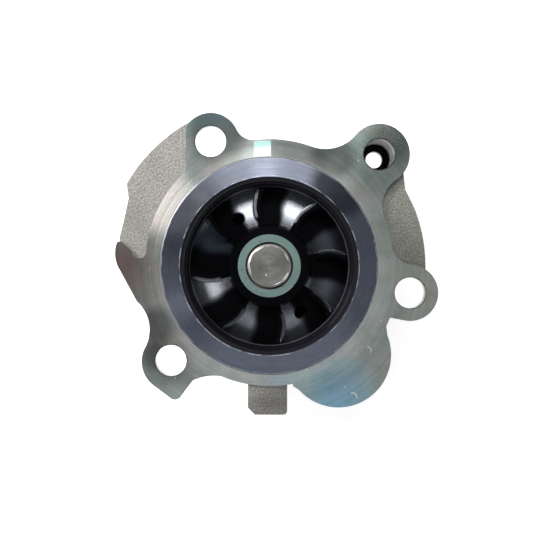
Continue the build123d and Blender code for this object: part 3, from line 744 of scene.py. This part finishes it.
for node, material in WHOLE.items():
    dress(node, material)


def round_edges(node):
    """Soften a moulding's sharp edges, and leave its shape as it is."""
    soften = nodes[node].modifiers.new("moulded_rounds", "REMESH")
    soften.mode = "VOXEL"
    soften.voxel_size = 0.25 * MM
    soften.use_smooth_shade = True
    relax = nodes[node].modifiers.new("rounded_edges", "SMOOTH")
    relax.factor = 0.5
    relax.iterations = 12


round_edges("impeller")


# ---------------------------------------------------------------- floor, lights and camera

WARM_WHITE, COOL_WHITE = (1.0, 0.95, 0.92), (0.93, 0.96, 1.0)
SOFTBOXES = (  # name, azimuth, elevation, distance, width, height, radiance, colour
    ("front_wide", 88, 23, 620, 330, 170, 4.6, WHITE),
    ("front_strip", 93, 30, 620, 70, 130, 7.0, WHITE),
    ("left_strip", 148, 42, 620, 210, 140, 38.0, WARM_WHITE),
    ("left_window", 150, 66, 600, 300, 300, 2.2, WHITE),
    ("low_left_card", 203, 23, 620, 60, 130, 1.5, WHITE),
    ("near_card", 275, 24, 620, 460, 130, 1.05, COOL_WHITE),
    ("right_card", 330, 62, 600, 300, 300, 1.0, WHITE),
)


def put_in_scene(name, data):
    made = bpy.data.objects.new(name, data)
    bpy.context.scene.collection.objects.link(made)
    return made


def floor():
    """Pale paper just under the pump, lit a little from behind so that it photographs white."""
    gap = 0.02 * MM
    ground = cad_box[0][2] - gap
    reach = 2.0  # metres, to past the picture's edges in low views
    mesh = bpy.data.meshes.new("floor")
    corners = [(x * reach, y * reach, ground) for x, y in ((-1, -1), (1, -1), (1, 1), (-1, 1))]
    mesh.from_pydata(corners, [], [range(len(corners))])
    glow = 0.75
    look = Look("floor_paper", metallic=0.0, roughness=0.9)
    look.set("Emission Color", WHITE)
    look.set("Emission Strength", glow)
    fibres = look.blend(look.noise(4.0), (0.93, 0.93, 0.93), (0.96, 0.96, 0.96))
    mesh.materials.append(look.finish(fibres))
    put_in_scene("floor", mesh)


def softbox(name, azimuth, elevation, distance, width, height, radiance, colour):
    """Rectangular light that faces the pump. Angles are in degrees: azimuth from +X, elevation off the
    shaft axis. Distance, width and height are in millimetres. Height runs along the elevation."""
    data = bpy.data.lights.new(name, "AREA")
    data.shape = "RECTANGLE"
    data.size = width * MM
    data.size_y = height * MM
    data.energy = radiance * math.pi * data.size * data.size_y
    data.color = colour
    made = put_in_scene(name, data)
    turn, lean = math.radians(azimuth), math.radians(elevation)
    outward = Vector((math.cos(turn), math.sin(turn), 0))
    place = outward * math.sin(lean) + Vector((0, 0, math.cos(lean)))
    made.location = place * distance * MM
    made.rotation_euler = (-place).to_track_quat("-Z", "Y").to_euler()
    return made


def flag_off(light, node):
    """Keep a light off a CAD node, as a studio's black flag does."""
    flag = bpy.data.collections.new(light.name + "_flag")
    light.light_linking.receiver_collection = flag
    flag.objects.link(nodes[node])
    flag.collection_objects[0].light_linking.link_state = "EXCLUDE"


def studio():
    """Dark room with a card overhead, where the camera looks down, and softboxes round it."""
    world = bpy.data.worlds.new("studio")
    bpy.context.scene.world = world
    world.use_nodes = True
    tree = world.node_tree
    background = tree.nodes["Background"]
    background.inputs["Color"].default_value = (*WHITE, 1)
    card_edge, card_inside = 0.80, 0.97  # the upward part of a direction, 1 straight up
    room_glow, card_glow = 0.05, 0.36
    direction = tree.nodes.new("ShaderNodeTexCoord")
    split = tree.nodes.new("ShaderNodeSeparateXYZ")
    tree.links.new(direction.outputs["Generated"], split.inputs[0])
    card = tree.nodes.new("ShaderNodeMapRange")
    card.interpolation_type = "SMOOTHSTEP"
    card.inputs["From Min"].default_value = card_edge
    card.inputs["From Max"].default_value = card_inside
    card.inputs["To Min"].default_value = room_glow
    card.inputs["To Max"].default_value = card_glow
    tree.links.new(split.outputs["Z"], card.inputs["Value"])
    tree.links.new(card.outputs["Result"], background.inputs["Strength"])
    lights = {row[0]: softbox(*row) for row in SOFTBOXES}
    flag_off(lights["left_strip"], "impeller")


def camera():
    """Straight down the shaft, with the lens a little off its axis."""
    lens_x, lens_y = 0.2 * MM, -1.16 * MM
    lens_height = 0.536
    field_of_view = 16.6
    data = bpy.data.cameras.new("camera")
    data.angle = math.radians(field_of_view)
    data.clip_start = 0.01
    made = put_in_scene("camera", data)
    made.location = (lens_x, lens_y, lens_height)
    made.rotation_euler = (0, 0, 0)
    bpy.context.scene.camera = made


floor()
studio()
camera()
bpy.context.scene.view_settings.view_transform = "Standard"
